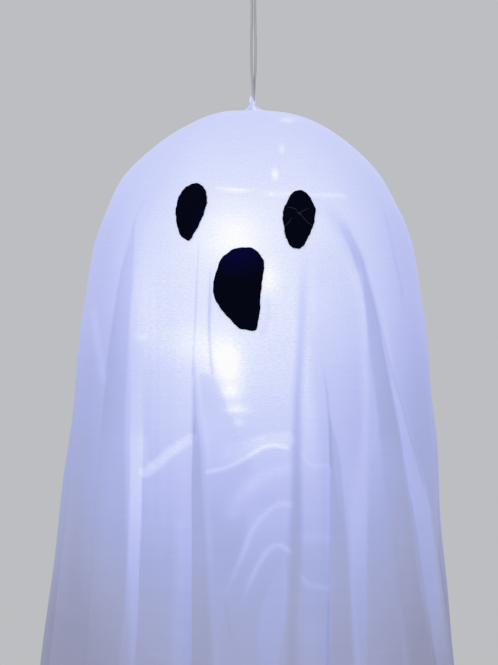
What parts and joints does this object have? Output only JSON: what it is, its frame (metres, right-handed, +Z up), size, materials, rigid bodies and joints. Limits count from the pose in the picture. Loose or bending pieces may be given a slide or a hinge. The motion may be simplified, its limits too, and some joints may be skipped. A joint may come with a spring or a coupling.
{
  "type": "hanging cloth ghost",
  "caption": "Hanging ghost of thin white cloth draped over a clear domed head, lit from inside by a battery light string, with black felt eyes and mouth.",
  "frame": {"origin": "where a hook bears inside the top of the hanging loop", "axes": "+Z up along the hanging line, which is the longest extent, with the face looking along -Y and +X to a viewer's right"},
  "size_m": [0.3115, 0.311, 0.5921],
  "materials": {
    "cloth": "thin woven polyester, translucent",
    "felt": "black craft felt",
    "cord": "satin nylon cord",
    "dome": "clear moulded polystyrene",
    "case": "moulded ABS",
    "cell": "plain cell jacket",
    "plated_steel": "nickel plated",
    "switch": "moulded nylon",
    "board": "solder resist",
    "wire": "clear PVC",
    "holder": "moulded polypropylene",
    "lamp": "clear epoxy"
  },
  "bodies": {
    "ghost": {"shroud": "cloth", "left_eye": "felt", "right_eye": "felt", "mouth": "felt", "hanging_loop": "cord", "loop_knot": "cord", "stop_washer": "case", "head_dome": "dome", "battery_case": "case", "battery_cells": "cell", "contact_springs": "plated_steel", "contact_plates": "plated_steel", "switch_plate": "case", "switch_body": "switch", "circuit_board": "board", "board_parts": "switch", "fixing_screws": "plated_steel", "strain_relief": "wire", "light_wire": "wire", "lamp_holders": "holder", "led_lamps": "lamp"},
    "cover": {"battery_cover": "case"},
    "knob": {"switch_knob": "switch"}
  },
  "joints": [
    {"name": "cover_slide", "type": "slide", "parent": "ghost", "child": "cover", "axis": [0, 1, 0], "range_m": [0, 0.01]},
    {"name": "switch_slide", "type": "slide", "parent": "ghost", "child": "knob", "axis": [0, 1, 0], "range_m": [0, 0.003]}
  ]
}
